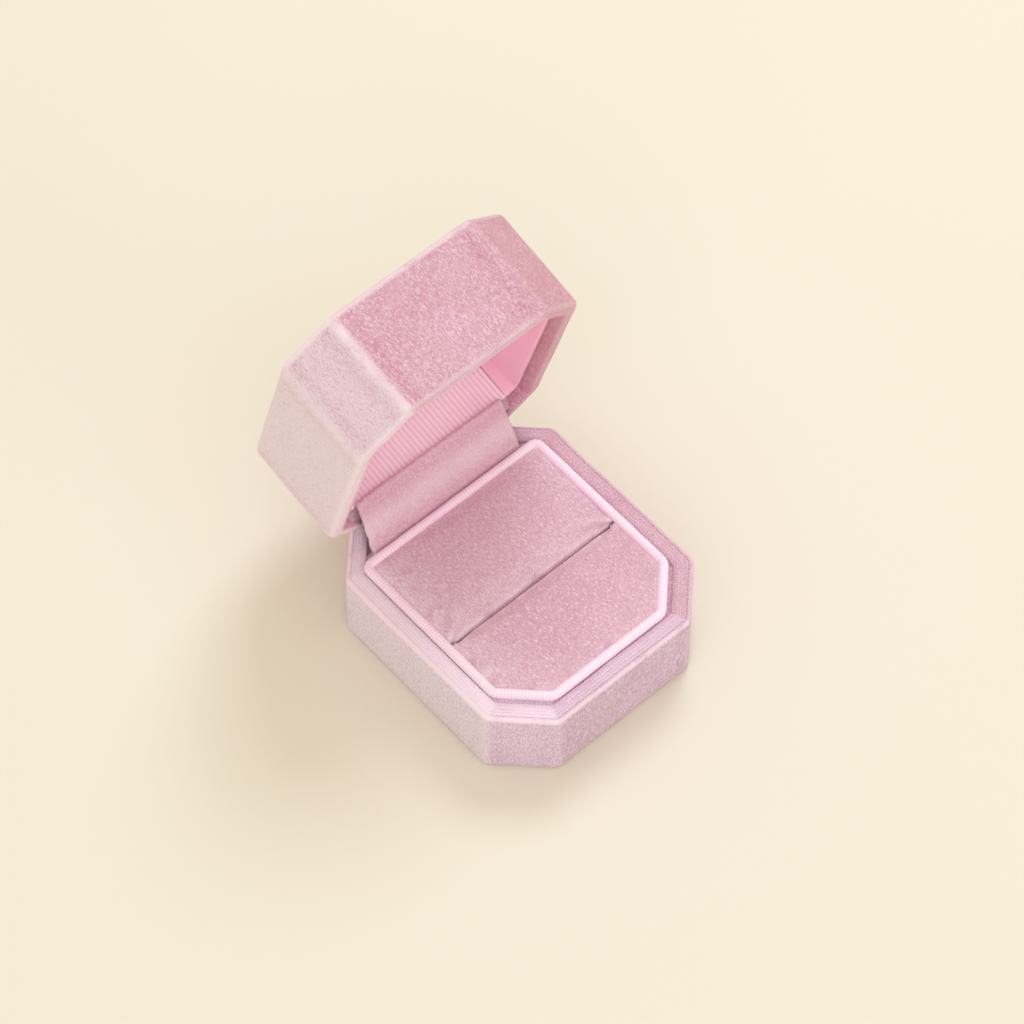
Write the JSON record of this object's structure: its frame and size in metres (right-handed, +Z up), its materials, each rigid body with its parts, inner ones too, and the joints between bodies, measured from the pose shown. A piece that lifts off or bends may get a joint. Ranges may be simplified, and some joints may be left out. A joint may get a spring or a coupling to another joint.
{
  "type": "ring box",
  "caption": "Small octagonal velvet jewelry box with a hinged lid standing open, a split ring cushion edged with ribbed piping, and a ribbed satin lining in the lid.",
  "frame": {"origin": "centre of the base's footprint, on the underside felt's flat face", "axes": "+X to the right seen from the front, +Y from the front towards the hinge, +Z up; the lid rests open"},
  "size_m": [0.048, 0.0713, 0.074],
  "materials": {
    "velvet": "dusty pink short-pile velvet with a brushed nap",
    "cushion_velvet": "mauve pink short-pile velvet over foam",
    "ribbon": "pink ribbed grosgrain",
    "satin": "smooth pink satin",
    "felt": "thin matte felt",
    "foam": "open-cell foam",
    "cord": "twisted cotton cord",
    "board": "plain greyboard",
    "hinge_steel": "plated spring steel",
    "brass": "plain brass rivet"
  },
  "bodies": {
    "base": {"underside_felt": "felt", "base_floor_board": "board", "base_wall_board": "board", "base_velvet": "velvet", "insert_collar": "board", "insert_riser": "foam", "front_cushion_foam": "foam", "rear_cushion_foam": "foam", "front_cushion_velvet": "cushion_velvet", "rear_cushion_velvet": "cushion_velvet", "piping_cord": "cord", "piping_ribbon": "ribbon", "hinge_strip": "velvet", "base_hinge_leaf": "hinge_steel", "hinge_pin": "hinge_steel", "snap_spring": "hinge_steel", "base_leaf_rivets": "brass"},
    "lid": {"lid_top_board": "board", "lid_wall_board": "board", "lid_velvet": "velvet", "lid_liner_board": "board", "lid_ceiling_pad": "foam", "lid_ribbed_lining": "ribbon", "lid_left_lining": "satin", "lid_right_lining": "satin", "lid_front_lining": "satin", "lid_hinge_leaf": "hinge_steel", "lid_leaf_rivets": "brass"}
  },
  "joints": [
    {"name": "lid_hinge", "type": "hinge", "parent": "base", "child": "lid", "pos_m": [0, 0.0255, 0.0184], "axis": [1, 0, 0], "range_deg": [0, 75], "deforming": ["hinge_strip", "snap_spring"]}
  ]
}
